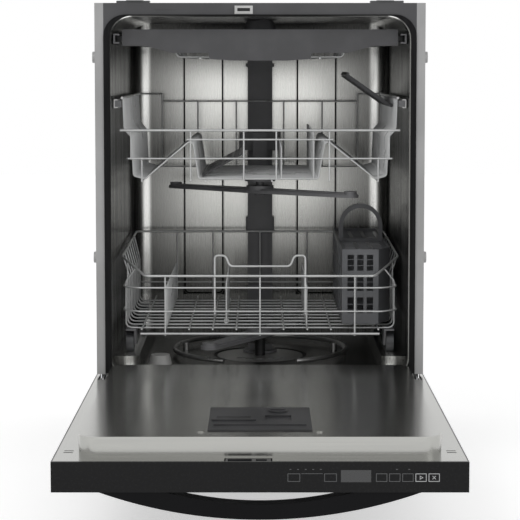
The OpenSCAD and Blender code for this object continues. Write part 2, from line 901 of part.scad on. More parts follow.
module lower_rack_back()
{
    y = rack_back;
    color("silver") from_front()
    {
        wire([-lower_half, y, lower_back_rim_z], [lower_half, y, lower_back_rim_z], rim_d);
        wire([-lower_half, y, lower_floor_z + 30], [lower_half, y, lower_floor_z + 30], wire_d);
        for (x = [-4 * floor_pitch, -100, 0, 100, 4 * floor_pitch])
            wire([x, y - 1.2, lower_floor_z - 4], [x, y - 1.2, lower_back_rim_z + 1], wire_d);
    }
}

// Where the side rim runs at depth y: across from the middle, and up
function rim_at(y) = let (corner = rack_front + 115, front = [front_half + 2, lower_front_rim_z],
                          bend = [lower_rim_half, lower_back_rim_z - 14], rear = [lower_rim_half, lower_back_rim_z])
    y < corner ? front + (bend - front) * (y - rack_front) / (corner - rack_front)
               : bend + (rear - bend) * (y - corner) / (rack_back - corner);

module lower_rack_sides()
{
    out = lower_half + 1.6 + wire_d / 2 - 0.5;
    corner = rack_front + 115;
    color("silver") from_front() both_sides()
    {
        for (ends = [[rack_front + 3, corner], [corner - 1, rack_back - 6]])
        {
            a = rim_at(ends[0]);
            b = rim_at(ends[1]);
            wire([a[0], ends[0], a[1]], [b[0], ends[1], b[1]], rim_d);
        }
        for (z = [lower_front_rim_z - 22, lower_front_rim_z - 66])
        {
            wire([front_half + 15, rack_front + 2, z], [out, rack_front + 24, z], wire_d);
            wire([out, rack_front + 22, z], [out, rack_back - 3, z], wire_d);
        }
        for (y = wall_y)
        {
            rim = rim_at(y);
            along_y(y - wire_d / 2, y + wire_d / 2)
                bent([[lower_half - 7, lower_floor_z - 3], [lower_half, lower_floor_z + 3],
                      [lower_half, lower_front_rim_z - 14], rim], wire_d);
        }
    }
}

module wheel_carriers()
{
    color([0.2, 0.2, 0.21]) from_front() both_sides()
        for (y = wheel_y)
        {
                along_x(wheel_x - wheel_t / 2 - 5, wheel_x - wheel_t / 2 - 1)
                    polygon([[y - 26, carrier_top], [y - 10, wheel_z - 6], [y + 10, wheel_z - 6],
                             [y + 26, carrier_top]]);
                translate([wheel_x - wheel_t / 2 - 5, y, wheel_z]) rotate([0, 90, 0]) cylinder(h = 20, d = axle_d);
                block([wheel_x - wheel_t / 2 - 5, y - 26, carrier_top - 3], [wheel_x + 7, y + 26, carrier_top]);
        }
}

module wheel_pair(y)
{
    color([0.3, 0.3, 0.31]) from_front() both_sides() translate([wheel_x - wheel_t / 2, y, wheel_z])
        rotate([0, 90, 0]) difference()
        {
            cylinder(h = wheel_t, d = wheel_d);
            translate([0, 0, -1]) cylinder(h = wheel_t + 2, d = axle_d + 2 * run);
            translate([0, 0, wheel_t - 4]) cylinder(h = 5, d = wheel_d - 10);
        }
}

module front_wheels() { wheel_pair(wheel_y[0]); }

module rear_wheels() { wheel_pair(wheel_y[1]); }

module lower_tine_row()
{
    z = lower_floor_z + wire_d / 2 + 2 + clear;
    seat = z - (lower_floor_z - wire_d / 2 + 0.3) - clear;
    x = -64;
    color("silver") from_front()
    {
        wire([x, rack_front + 60, z], [x, rack_back - 60, z], 4);
        for (i = [1, 4, 8]) along_y(wall_y[i] - 2, wall_y[i] + 2) translate([x, z]) circle(r = seat);
        for (i = [0 : floor((rack_depth - 145) / tine_pitch)])
            translate([x - wire_d / 2, rack_front + 72.4 + tine_pitch * i, z]) cube([wire_d, wire_d, 74]);
    }
}

module basket_outline(s)
{
    x0 = basket_x0 + s;
    x1 = basket_x1 - s;
    y0 = basket_y0 + s;
    polygon([[x0, y0], [x1 - 24, y0], [x1, y0 + 52], [x1, basket_y0 + basket_len - s],
             [x0, basket_y0 + basket_len - s]]);
}

module basket_handle()
{
    mid = basket_y0 + basket_len / 2;
    half = basket_w / 2 - 3;
    difference()
    {
        along_y(mid - 8, mid + 8) translate([basket_x0 + basket_w / 2, basket_z1 + 26]) difference()
        {
            union()
            {
                circle(r = half);
                translate([-half, -34]) square([2 * half, 34]);
            }
            circle(r = half - 8);
            translate([-half + 8, -50]) square([2 * half - 16, 50]);
        }
        block([basket_x0, mid - 1.5 - clear, basket_z1 - 20], [basket_x1, mid + 1.5 + clear, basket_z1 + clear]);
    }
}

module silverware_basket()
{
    mid = basket_y0 + basket_len / 2;
    color([0.33, 0.34, 0.36]) from_front() basket_handle();
    color([0.33, 0.34, 0.36]) from_front() difference()
    {
        translate([0, 0, basket_z0]) linear_extrude(basket_h) basket_outline(0);
        for (y = [0, 1]) intersection()
        {
            translate([0, 0, basket_z0 + 3]) linear_extrude(basket_h) basket_outline(2.5);
            block([0, basket_y0 + (y == 0 ? 0 : basket_len / 2 + 1.5), 0],
                  [half_front, basket_y0 + (y == 0 ? basket_len / 2 - 1.5 : basket_len), frame_top]);
        }
        for (i = [0 : 16], z = [14, 56, 98]) if (abs(basket_y0 + 74 + 21 * i - mid) > 16 && i < 17)
            block([basket_x0 - 1, basket_y0 + 66 + 21 * i, basket_z0 + z],
                  [basket_x1 + 1, basket_y0 + 81 + 21 * i, basket_z0 + z + 34]);
        for (x = [16 : 18 : 60], z = [20, 62, 100])
            block([basket_x0 + x - 6, basket_y0 - 1, basket_z0 + z], [basket_x0 + x + 6, basket_y0 + 10, basket_z0 + z + 30]);
    }
}

lid_hinge = [basket_x0 + 5.2, basket_z1 - 6.5];

module basket_lid(y0, y1)
{
    count = floor((y1 - y0 - 8) / 27);
    color([0.36, 0.37, 0.39]) from_front() difference()
    {
        union()
        {
            block([basket_x0 + 3.5, y0, lid_hinge[1] - 1.5], [basket_x1 - 2.8, y1, lid_hinge[1] + 1.5]);
            translate([lid_hinge[0], y0, lid_hinge[1]]) rotate([-90, 0, 0]) cylinder(h = y1 - y0, d = 3.4);
        }
        for (i = [0 : count - 1], x = [0 : 2])
            block([basket_x0 + 10 + 26 * x, y0 + 6 + 27 * i, basket_z1 - 12],
                  [basket_x0 + 29 + 26 * x, y0 + 25 + 27 * i, basket_z1]);
    }
}

module front_basket_lid() { basket_lid(basket_y0 + 56, basket_y0 + basket_len / 2 - 12); }

module rear_basket_lid() { basket_lid(basket_y0 + basket_len / 2 + 12, basket_y0 + basket_len - 4); }

// ---------- upper rack ----------

// Side wall of the upper rack from the rim down to where the floor starts
function tray_wall(s) = [[s * upper_half, upper_rim_z - 8], [s * (upper_half - 2), upper_floor_z + 93],
    [s * (upper_half - 16), upper_floor_z + 77], [s * (upper_half - 19), upper_floor_z + 6],
    [s * (upper_half - 40), upper_floor_z]];

// Section across the upper rack, with two ridges in its floor
function tray_profile() = concat(tray_wall(-1),
    [[-132, ridge_z + 2], [-124, ridge_z], [-114, upper_floor_z], [108, upper_floor_z], [120, ridge_z],
     [128, ridge_z + 2]], [for (i = [4 : -1 : 0]) tray_wall(1)[i]]);
ridge_z = upper_floor_z + 67;
front_rim_z = upper_floor_z + 91;
comb_y = [for (i = [0 : floor((rack_depth - 40) / wall_pitch)]) rack_front + 20 + wall_pitch * i];

module upper_rack_basket()
{
    z = upper_floor_z;
    low = z - wire_d + 0.5;
    color("silver") from_front()
    {
        for (y = comb_y)
        {
            along_y(y, y + wire_d) bent(tray_profile(), wire_d);
            for (t = [[38, 60], [98, 88]]) block([t[0], y, z], [t[0] + wire_d, y + wire_d, z + t[1]]);
        }
        for (x = [36 - upper_half, -100, 22, 90, upper_half - 36])
            wire([x, rack_front + 3, low], [x, rack_back - 1.9, low], wire_d);
        both_sides() translate([upper_half, 0, upper_rim_z - 5.5])
            wire([0, rack_front + 3, 0], [0, rack_back - 1.9, 0], rim_d);
    }
}

module upper_rack_front()
{
    y = rack_front;
    z = upper_floor_z;
    color("silver") from_front()
    {
        wire([-upper_half - 4, y, front_rim_z], [upper_half + 4, y, front_rim_z], rim_d);
        wire([-135, y, ridge_z + 7], [135, y, ridge_z + 7], wire_d);
        wire([10 - upper_half, y, z + 39], [upper_half - 10, y, z + 39], wire_d);
        for (x = [-128, -30, 30, 128]) wire([x, y + 1.2, z - 2], [x, y + 1.2, front_rim_z + 1], wire_d);
        both_sides()
        {
            wire([upper_half - 16, y + 1.2, z + 37], [upper_half - 16, y + 1.2, front_rim_z + 1], wire_d);
            wire([upper_half - 36, y + 1.2, z - 2], [upper_half - 36, y + 1.2, z + 41], wire_d);
        }
    }
}

module upper_rack_back()
{
    y = rack_back;
    low = upper_floor_z - wire_d + 0.5;
    rim_z = upper_rim_z - 5.5;
    back_z = upper_rim_z - 21;
    step_x = upper_half - 48;
    color("silver") from_front()
    {
        wire([-step_x, y, back_z], [step_x, y, back_z], wire_d);
        wire([-step_x - 16, y, low], [step_x + 16, y, low], wire_d);
        both_sides()
        {
            wire([step_x, y, rim_z], [upper_half + 2, y, rim_z], wire_d);
            wire([step_x, y - 1.2, low - 1], [step_x, y - 1.2, rim_z + 1], wire_d);
            for (x = [50, 131]) wire([x, y - 1.2, low - 1], [x, y - 1.2, back_z + 1], wire_d);
        }
    }
}

module upper_rack_runners()
{
    z = upper_rim_z - 24;
    color([0.3, 0.3, 0.31]) from_front() both_sides()
    {
        block([half_tub - 16, rack_front, z + 2 + clear], [half_tub - 5 - clear, rack_back, z + 14 - clear]);
    }
}

module upper_tine_row()
{
    hinge = [-106, upper_floor_z + wire_d / 2 + 3.5 + clear];
    color([0.2, 0.2, 0.21]) from_front()
    {
        translate([hinge[0], rack_front + 60, hinge[1]]) rotate([-90, 0, 0]) cylinder(h = 300, d = 7);
        translate([hinge[0], 0, hinge[1]]) rotate([0, -28, 0]) difference()
        {
            block([0, rack_front + 64, -1.5], [82, rack_front + 356, 1.5]);
            for (i = [0 : 17], j = [0 : 3])
                block([10 + 18 * j, rack_front + 70 + 16 * i, -5], [22 + 18 * j, rack_front + 79 + 16 * i, 5]);
        }
    }
}

shelf_hinge = [upper_half - 6, upper_rim_z - 21];

module cup_shelf()
{
    y0 = rack_front + 90;
    color([0.3, 0.3, 0.31]) from_front()
        translate([shelf_hinge[0], 0, shelf_hinge[1]])
        {
            translate([0, y0, 0]) rotate([-90, 0, 0]) cylinder(h = 220, d = 7);
            rotate([0, 35, 0]) difference()
            {
                union()
                {
                    block([-100, y0, -1.5], [0, y0 + 220, 1.5]);
                    for (i = [0 : 4]) block([-100, y0 + 54 * i, -5], [-4, y0 + 4 + 54 * i, 0]);
                    block([-103, y0, -3], [-99, y0 + 220, 4]);
                }
                for (i = [0 : 3], j = [0 : 5])
                    block([-88 + 14 * j, y0 + 10 + 54 * i, -5], [-80 + 14 * j, y0 + 48 + 54 * i, 5]);
            }
        }
}

module spray_manifold()
{
    z = upper_floor_z;
    end_y = column_y - 20;
    color([0.18, 0.18, 0.19]) from_front() difference()
    {
        union()
        {
            along_x(-15, 15) bent([[hub_y - 10, z - 11], [end_y - 9, z - 11], [end_y - 7, 610]], 12);
            translate([0, hub_y, z - 18]) cylinder(h = 13, r = 30);
            translate([0, hub_y, z - 45]) cylinder(h = 28, r = 8);
            translate([0, hub_y, z - 46]) cylinder(h = 4, r1 = 11, r2 = 13);
            translate([0, end_y - 8, 591]) rotate([-90, 0, 0]) cylinder(h = 13, r = 12);
        }
        translate([0, end_y - 2, 591]) rotate([-90, 0, 0]) cylinder(h = 12, r = 9);
    }
}

// Flat outline of a tapered spray arm
module arm_outline(len, hub_w, tip_w)
{
    half = len / 2 - tip_w / 2;
    polygon([[-half, -tip_w / 2], [0, -hub_w / 2], [half, -tip_w / 2], [half, tip_w / 2], [0, hub_w / 2],
             [-half, tip_w / 2]]);
    for (x = [-half, half]) translate([x, 0]) circle(d = tip_w);
}

// Spray arm about its hub, with its underside at zero
module spray_arm(len, hub_w, tip_w, bore)
{
    difference()
    {
        union()
        {
            linear_extrude(6) arm_outline(len, hub_w, tip_w);
            translate([0, 0, 5]) linear_extrude(3.5) arm_outline(len - 30, hub_w - 14, tip_w - 10);
            cylinder(h = 14, r = 27);
            for (s = [-1, 1]) translate([s * (len / 2 - tip_w / 2), 0, 5]) cylinder(h = 7, d = tip_w - 6);
        }
        translate([0, 0, -1]) cylinder(h = 20, r = bore);
        for (s = [-1, 1], i = [0 : 5])
            translate([s * (48 + i * (len / 2 - 85) / 5), 2 - i % 2 * 4, 6.5]) cylinder(h = 5, d = 4, $fn = 16);
    }
}

module upper_spray_arm()
{
    color([0.2, 0.2, 0.21]) from_front() translate([0, hub_y, upper_floor_z - 41])
        rotate(upper_arm_turn) spray_arm(upper_arm_len, 56, 30, 8 + run);
}

module lower_spray_arm()
{
    color([0.35, 0.35, 0.36]) from_front() translate([0, hub_y, track_z + 4])
        rotate(lower_arm_turn) spray_arm(lower_arm_len, 60, 34, 8 + run);
}

// ---------- third rack ----------

module third_rack_panel()
{
    top = third_rim_z;
    low = top - third_panel_h;
    color([0.31, 0.31, 0.32]) from_front() difference()
    {
        union()
        {
            along_y(rack_front, rack_front + 3)
                both_sides() polygon([[-1, top], [-1, low - 27], [50, low - 27], [93, low - 24], [95, low - 13],
                                      [160, low - 13], [third_half - 43, low], [third_half, low], [third_half, top]]);
            block([-third_half, rack_front, top - 3], [third_half, rack_front + 16, top]);
            both_sides() block([third_half - 3, rack_front, low + 2], [third_half, rack_front + 40, top]);
        }
        both_sides() block([150, rack_front + 6, top - 5], [200, rack_front + 12, top + 1]);
    }
}

module third_rack_tray()
{
    low = third_rim_z - third_panel_h;
    half = third_half - 5;
    rim_z = third_rim_z - 6.5;
    color("silver") from_front()
    {
        for (y = comb_y) along_y(y + 2, y + 2 + wire_d)
            bent([[-half, rim_z - 1.5], [2 - half, low + 4], [-160, low], [-152, low - 20], [152, low - 20],
                  [160, low], [half - 2, low + 4], [half, rim_z - 1.5]], wire_d);
        both_sides() wire([half, rack_front + 17, rim_z], [half, rack_back - 2, rim_z], wire_d);
        for (x = [48 - half, -110, 0, 110, half - 48])
        {
            z = abs(x) > 150 ? low + 1 : low - 20;
            wire([x, rack_front + 3.3, z - wire_d + 0.8], [x, rack_back - 4, z - wire_d + 0.8], wire_d);
        }
        wire([-half - 1, rack_back - 3, rim_z], [half + 1, rack_back - 3, rim_z], wire_d);
    }
}

module third_rack_runners()
{
    z = third_rim_z - 26;
    color([0.3, 0.3, 0.31]) from_front() both_sides()
        block([half_tub - 22.1, rack_front + 42, z + 3 + clear], [half_tub - 6 - clear, rack_back, z + 15 - clear]);
}

module overfill_float()
{
    color([0.75, 0.75, 0.74]) from_front() translate([-float_x, float_y, floor_z])
    {
        translate([0, 0, -22]) cylinder(h = 34, d = 13);
        difference()
        {
            translate([0, 0, 8]) cylinder(h = 18, r1 = 22, r2 = 18);
            translate([0, 0, 7]) cylinder(h = 14, r = 16);
        }
        translate([0, 0, 8]) cylinder(h = 16, d = 13);
    }
}

tub();
insulation_blanket();
side_frame();
top_frame();
door_gasket();
base_frame();
levelling_legs();
toe_kick();
worktop_brackets();
hinge_brackets();
latch_strike();
water_column();
docking_port();
ceiling_spray_head();
sump();
filter_plate();
heater_element();
circulation_pump();
drain_pump();
inlet_valve();
junction_box();
upper_rack_rails();
third_rack_rails();
outer_door_panel();
inner_door_panel();
control_console();
display_window();
touch_keys();
door_handle();
door_latch();
hinge_arms();
dispenser_body();
dispenser_lid();
rinse_aid_cap();
lower_rack_floor();
lower_rack_tines();
lower_rack_front();
lower_rack_back();
lower_rack_sides();
wheel_carriers();
front_wheels();
rear_wheels();
lower_tine_row();
silverware_basket();
front_basket_lid();
rear_basket_lid();
upper_rack_basket();
upper_rack_front();
upper_rack_back();
upper_rack_runners();
upper_tine_row();
cup_shelf();
spray_manifold();
upper_spray_arm();
third_rack_panel();
third_rack_tray();
third_rack_runners();
lower_spray_arm();
filter_cylinder();
overfill_float();
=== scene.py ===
import math

import bpy
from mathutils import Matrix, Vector


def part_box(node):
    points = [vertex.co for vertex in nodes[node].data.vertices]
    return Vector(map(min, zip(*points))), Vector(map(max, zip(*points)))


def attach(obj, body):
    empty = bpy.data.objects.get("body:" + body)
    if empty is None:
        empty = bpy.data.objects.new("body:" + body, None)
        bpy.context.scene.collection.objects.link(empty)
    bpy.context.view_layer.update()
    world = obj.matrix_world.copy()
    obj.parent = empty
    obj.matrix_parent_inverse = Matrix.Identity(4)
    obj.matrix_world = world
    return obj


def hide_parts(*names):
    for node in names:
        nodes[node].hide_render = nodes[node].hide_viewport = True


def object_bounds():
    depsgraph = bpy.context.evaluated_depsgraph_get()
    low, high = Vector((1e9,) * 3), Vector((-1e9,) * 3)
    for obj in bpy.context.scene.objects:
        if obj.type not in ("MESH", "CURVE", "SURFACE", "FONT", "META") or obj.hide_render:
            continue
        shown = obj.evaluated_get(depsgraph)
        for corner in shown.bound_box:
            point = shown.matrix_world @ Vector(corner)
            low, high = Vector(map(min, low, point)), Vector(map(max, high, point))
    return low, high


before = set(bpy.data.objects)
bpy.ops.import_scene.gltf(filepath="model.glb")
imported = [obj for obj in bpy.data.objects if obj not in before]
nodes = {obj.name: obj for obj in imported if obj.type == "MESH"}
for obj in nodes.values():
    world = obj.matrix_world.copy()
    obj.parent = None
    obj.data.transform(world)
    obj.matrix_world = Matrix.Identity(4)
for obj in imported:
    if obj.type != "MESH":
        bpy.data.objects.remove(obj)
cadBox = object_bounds()
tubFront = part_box("side_frame")[0].y  # depth of the tub's front plane, which the sizes below count from
print("frame loaded:", len(nodes), "CAD pieces")


def hexColour(code):
    # sRGB hex to the linear colour that shaders take
    parts = [int(code[i:i + 2], 16) / 255 for i in (1, 3, 5)]
    return tuple(c / 12.92 if c <= 0.04045 else ((c + 0.055) / 1.055) ** 2.4 for c in parts) + (1,)


def place(x, y, z):
    # a point in millimetres, counted from the tub's front plane, in the frame's metres
    return Vector((x / 1000, tubFront + y / 1000, z / 1000))


def addNode(tree, kind, links=None, **settings):
    # adds one shader node, sets its fields and inputs, and links what feeds it
    made = tree.nodes.new(kind)
    for name, value in settings.items():
        if hasattr(made, name):
            setattr(made, name, value)
        else:
            made.inputs[name.replace("_", " ")].default_value = value
    for socket, source in (links or {}).items():
        tree.links.new(source, made.inputs[socket])
    return made


def startMaterial(name, **surface):
    # a Principled surface with its constants set on its own sockets
    made = bpy.data.materials.new(name)
    made.use_nodes = True
    tree = made.node_tree
    shader = tree.nodes["Principled BSDF"]
    for socket, value in surface.items():
        shader.inputs[socket.replace("_", " ")].default_value = value
    return made, tree, shader


def grain(tree, scale=(1, 1, 1), **settings):
    # a random pattern on object coordinates in metres, stretched where the real grain runs one way
    coords = addNode(tree, "ShaderNodeTexCoord")
    spread = addNode(tree, "ShaderNodeMapping", {"Vector": coords.outputs["Object"]})
    spread.inputs["Scale"].default_value = scale
    specks = addNode(tree, "ShaderNodeTexNoise", {"Vector": spread.outputs["Vector"]}, **settings)
    return specks.outputs["Fac"]


def tones(tree, pattern, stops):
    # colours that follow a pattern, eased from stop to stop
    ramp = addNode(tree, "ShaderNodeValToRGB", {"Fac": pattern})
    ramp.color_ramp.interpolation = "EASE"
    while len(ramp.color_ramp.elements) < len(stops):
        ramp.color_ramp.elements.new(0.5)
    for element, (where, shade) in zip(ramp.color_ramp.elements, stops):
        element.position = where
        element.color = hexColour(shade)
    return ramp.outputs["Color"]


def setTint(tree, shader, pattern, *stops):
    tree.links.new(tones(tree, pattern, stops), shader.inputs["Base Color"])


def setShine(tree, shader, pattern, smooth, rough):
    # roughness that follows the middle of a pattern's range
    shine = addNode(tree, "ShaderNodeMapRange", {"Value": pattern}, From_Min=0.3, From_Max=0.7,
                    To_Min=smooth, To_Max=rough)
    tree.links.new(shine.outputs["Result"], shader.inputs["Roughness"])


def setRelief(tree, shader, pattern, depth, strength):
    # depth is the real height of the relief in metres
    bump = addNode(tree, "ShaderNodeBump", {"Height": pattern}, Strength=strength, Distance=depth)
    tree.links.new(bump.outputs["Normal"], shader.inputs["Normal"])


def clearSelection():
    if bpy.context.object and bpy.context.object.mode != "OBJECT":
        bpy.ops.object.mode_set(mode="OBJECT")
    bpy.ops.object.select_all(action="DESELECT")


def joinPieces(name, pieces):
    clearSelection()
    for piece in pieces:
        piece.select_set(True)
    bpy.context.view_layer.objects.active = pieces[0]
    if len(pieces) > 1:
        bpy.ops.object.join()
    joined = bpy.context.object
    joined.name = name
    joined.data.name = name
    return joined


def dress(piece, body, finish, slot, *stands):
    # material, body, finish slot (not used) and replaced CAD pieces of a new piece
    piece.data.materials.clear()
    piece.data.materials.append(finish)
    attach(piece, body)
    if stands:
        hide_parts(*stands)


def paint(finish, *names):
    # a CAD piece keeps its shape and gets a finish
    for name in names:
        nodes[name].data.materials.clear()
        nodes[name].data.materials.append(finish)


def eased(tree, value, low, high, first=0.0, last=1.0):
    # a mask that is first below low and last above high
    edge = addNode(tree, "ShaderNodeMapRange", {"Value": value}, interpolation_type="SMOOTHSTEP",
                   From_Min=low, From_Max=high, To_Min=first, To_Max=last)
    return edge.outputs["Result"]


def overlap(tree, first, *others):
    # a mask that is 1 only where all of these are
    shared = first
    for mask in others:
        shared = addNode(tree, "ShaderNodeMath", {0: shared, 1: mask}, operation="MULTIPLY").outputs[0]
    return shared


def strip(tree, value, rise, fall):
    # a mask that eases up over rise and down over fall
    return overlap(tree, eased(tree, value, *rise), eased(tree, value, *fall, 1.0, 0.0))


def coat(tree, mask, under, over):
    # over covers under where the mask is 1; each is a colour code or a socket
    mix = addNode(tree, "ShaderNodeMixRGB", {"Fac": mask})
    for socket, shade in (("Color1", under), ("Color2", over)):
        if isinstance(shade, str):
            mix.inputs[socket].default_value = hexColour(shade)
        else:
            tree.links.new(shade, mix.inputs[socket])
    return mix.outputs["Color"]


tubPaintedLight = {  # places in metres, X out from the middle and Y back from the tub's front plane
    "heights": (0.18, 0.84),
    # wall: colour by height that is painted light: painted shade low down, a bright painted reflection
    # across the middle, dark painted shade at the ceiling
    "wall": ((0.0, "#6c6c6a"), (0.2, "#8f8f8c"), (0.5, "#d4d4d0"), (0.8, "#eeeeea"), (0.93, "#9b9b98"),
             (1.0, "#2b2b2a")),
    # outer: painted shade that darkens the back wall towards its sides
    "outerX": (0.09, 0.235), "outer": "#70706e", "outerShadeShare": 0.75,
    # bend: a painted highlight along the back corner bend
    "bendHighlightRise": (0.230, 0.239), "bendHighlightFall": (0.246, 0.256), "bend": "#f4f4f1",
    # side: painted shade on the side walls, with painted reflection streaks
    "sideShadeX": (0.258, 0.272), "sideShadeZ": (0.2, 0.21), "side": ((0.42, "#2a2a2a"), (0.62, "#8f8f8c")),
    # groove: a painted shadow in the grooves of the back wall's panels
    "grooveY": (0.5587, 0.5591), "panelX": (0.0765, 0.1645), "panelZ": (0.2605, 0.8095),
    "grooveEdge": 0.0002, "groove": "#0b0b0b",
}


def tubSheet():
    # deep-drawn 304 tub brushed upright; its colour holds painted light: painted shade and a painted
    # reflection by height, painted shade at the ceiling, towards the sides and on the side walls with
    # painted reflection streaks, a painted highlight at the back corner bend and painted shadow in the
    # grooves
    t = tubPaintedLight
    edge = t["grooveEdge"]
    made, tree, shader = startMaterial("brushedStainlessTubWithPaintedLight", Metallic=1.0, Roughness=0.27, Anisotropic=0.6)
    coords = addNode(tree, "ShaderNodeTexCoord")
    axes = addNode(tree, "ShaderNodeSeparateXYZ", {"Vector": coords.outputs["Object"]})
    across = addNode(tree, "ShaderNodeMath", {0: axes.outputs["X"]}, operation="ABSOLUTE").outputs[0]
    up = axes.outputs["Z"]
    lines = grain(tree, (2400, 2400, 6), Scale=1.0, Detail=3.0)  # under half a millimetre apart
    # vertical streaks for the painted reflections on the side walls
    reflectionStreaks = grain(tree, (1, 46, 0.15), Scale=1.0, Detail=1.5)
    low, high = t["heights"]
    # painted shade and painted reflection on the walls by height, darkest at the ceiling
    share = addNode(tree, "ShaderNodeMapRange", {"Value": up}, From_Min=low, From_Max=high).outputs["Result"]
    # painted shade towards the sides of the back wall
    paintedShadeTowardsSides = eased(tree, across, *t["outerX"], 0.0, t["outerShadeShare"])
    steelAndPaintedLight = coat(tree, paintedShadeTowardsSides, tones(tree, share, t["wall"]), t["outer"])
    # painted shade with painted reflection streaks on the side walls
    onSideWallShade = overlap(tree, eased(tree, across, *t["sideShadeX"]), eased(tree, up, *t["sideShadeZ"]))
    steelAndPaintedLight = coat(tree, onSideWallShade, steelAndPaintedLight, tones(tree, reflectionStreaks, t["side"]))
    # a painted highlight along the back corner bend
    steelAndPaintedLight = coat(tree, strip(tree, across, t["bendHighlightRise"], t["bendHighlightFall"]), steelAndPaintedLight, t["bend"])
    # painted shadow in the grooves of the back wall's panels
    panels = [strip(tree, value, (start - edge, start + edge), (end - edge, end + edge))
              for value, (start, end) in ((across, t["panelX"]), (up, t["panelZ"]))]
    atGrooveDepth = eased(tree, axes.outputs["Y"], *[tubFront + y for y in t["grooveY"]])
    steelAndPaintedLight = coat(tree, overlap(tree, atGrooveDepth, *panels), steelAndPaintedLight, t["groove"])
    tree.links.new(steelAndPaintedLight, shader.inputs["Base Color"])
    setShine(tree, shader, lines, 0.26, 0.28)
    setRelief(tree, shader, lines, 0.000003, 0.02)
    return made


doorPan = {"dark": "#a3a3a0", "light": "#b0b0ac", "rough": 0.2, "flow": 0.4, "relief": 0.08}


def panSheet():
    # 304 stainless sheet, brushed from side to side: fine lines that smear reflections along the grain
    p = doorPan
    made, tree, shader = startMaterial("brushedStainlessDoorPan", Metallic=1.0, Roughness=p["rough"],
                                       Anisotropic=p["flow"])
    lines = grain(tree, (6, 2400, 2400), Scale=1.0, Detail=3.0, Roughness=0.6)  # as fine as the tub's
    setTint(tree, shader, lines, (0.3, p["dark"]), (0.7, p["light"]))
    setShine(tree, shader, lines, p["rough"] - 0.05, p["rough"] + 0.06)
    setRelief(tree, shader, lines, 0.000008, p["relief"])
    return made


def mouldedPlastic(name, base, worn, rough=0.45):
    # glass-filled polypropylene from a spark-eroded mould: even, slightly grainy, soft highlights
    made, tree, shader = startMaterial(name, Roughness=rough, IOR=1.49, Specular_IOR_Level=0.5)
    sparks = grain(tree, Scale=1 / 0.0009, Detail=3.0)  # pits 0.9 mm across, drawn coarse enough to show
    cloud = grain(tree, Scale=14.0, Detail=3.0)
    setTint(tree, shader, cloud, (0.35, base), (0.7, worn))
    setShine(tree, shader, sparks, rough - 0.05, rough + 0.07)
    setRelief(tree, shader, sparks, 0.00006, 0.35)
    return made


def coatedMetal(name, base, worn, rough=0.35, metal=0.0, peel=0.004, level=0.5):
    # powder coat, zinc or ink: faint orange peel, its waves peel metres long, and slow changes of tone
    made, tree, shader = startMaterial(name, Roughness=rough, Metallic=metal, Specular_IOR_Level=level)
    waves = grain(tree, Scale=1 / peel, Detail=2.0)
    cloud = grain(tree, Scale=9.0, Detail=4.0)
    setTint(tree, shader, cloud, (0.3, base), (0.72, worn))
    setShine(tree, shader, cloud, rough - 0.05, rough + 0.06)
    setRelief(tree, shader, waves, 0.00004, 0.3)
    return made


def consolePlastic():
    # black glossy ABS under a printed film: deep black with a soft reflection
    made, tree, shader = startMaterial("glossyBlackConsoleFilm", Roughness=0.24, IOR=1.5,
                                       Specular_IOR_Level=0.16)
    haze = grain(tree, Scale=220.0, Detail=3.0)
    setTint(tree, shader, haze, (0.3, "#111112"), (0.7, "#161617"))
    setShine(tree, shader, haze, 0.2, 0.3)
    setRelief(tree, shader, haze, 0.00001, 0.2)
    return made


def gasketRubber():
    # extruded EPDM: dull black with fine lines along the strip
    made, tree, shader = startMaterial("extrudedBlackRubber", Roughness=0.6, IOR=1.52,
                                       Specular_IOR_Level=0.12)
    lines = grain(tree, (300, 300, 20), Scale=1.0, Detail=2.0)
    setTint(tree, shader, lines, (0.3, "#0d0d0e"), (0.75, "#181819"))
    setRelief(tree, shader, lines, 0.0001, 0.3)
    return made


def displayFilm():
    # unlit liquid crystal window behind a smoked film
    made, tree, shader = startMaterial("smokedDisplayWindow", Roughness=0.18, IOR=1.5, Coat_Weight=0.5,
                                       Coat_Roughness=0.08)
    cells = grain(tree, Scale=500.0, Detail=2.0)
    setTint(tree, shader, cells, (0.3, "#1f2021"), (0.7, "#27282a"))
    setRelief(tree, shader, cells, 0.00001, 0.15)
    return made


def blanketFleece():
    # cotton fleece pressed on bitumen: dull and furry, with loose light and dark fibres
    made, tree, shader = startMaterial("bitumenBackedFleece", Roughness=0.9, Sheen_Weight=0.3,
                                       Sheen_Roughness=0.6)
    fibres = grain(tree, Scale=260.0, Detail=6.0, Roughness=0.7)
    setTint(tree, shader, fibres, (0.3, "#2f3031"), (0.72, "#565758"))
    setRelief(tree, shader, fibres, 0.0008, 0.7)
    return made


rubber = gasketRubber()
zincSteel = coatedMetal("galvanisedSheetSteel", "#8b8c8c", "#a3a4a4", rough=0.42, metal=0.7, peel=0.006)
sideZinc = coatedMetal("greyPaintedSideFrame", "#a2a2a2", "#b0b0b0", rough=0.45, metal=0.15)
topPaint = coatedMetal("darkGreyPaintedTopFrame", "#424244", "#4e4e50", rough=0.4)
strikeZinc = coatedMetal("zincPlatedStrike", "#a9a9a8", "#c9c9c8", rough=0.3, metal=0.85)
legZinc = coatedMetal("zincPlatedSteel", "#9a9b9b", "#bcbdbd", rough=0.35, metal=0.8)
blackPaint = coatedMetal("blackPaintedSteel", "#141415", "#1d1d1e", rough=0.38)
handlePaint = coatedMetal("satinBlackPaintedHandle", "#08080a", "#0e0e10", rough=0.34, level=0.1)
rackCoat = coatedMetal("nylonCoatedRackWire", "#c4c5c5", "#d4d5d5", rough=0.3, metal=0.3, peel=0.003)
columnPlastic = mouldedPlastic("charcoalPolypropylene", "#6e6e70", "#79797b")
panelPlastic = mouldedPlastic("graphitePolypropylene", "#474749", "#525254", rough=0.5)
basketPlastic = mouldedPlastic("slateGreyPolypropylene", "#5c5d60", "#696a6d", rough=0.42)
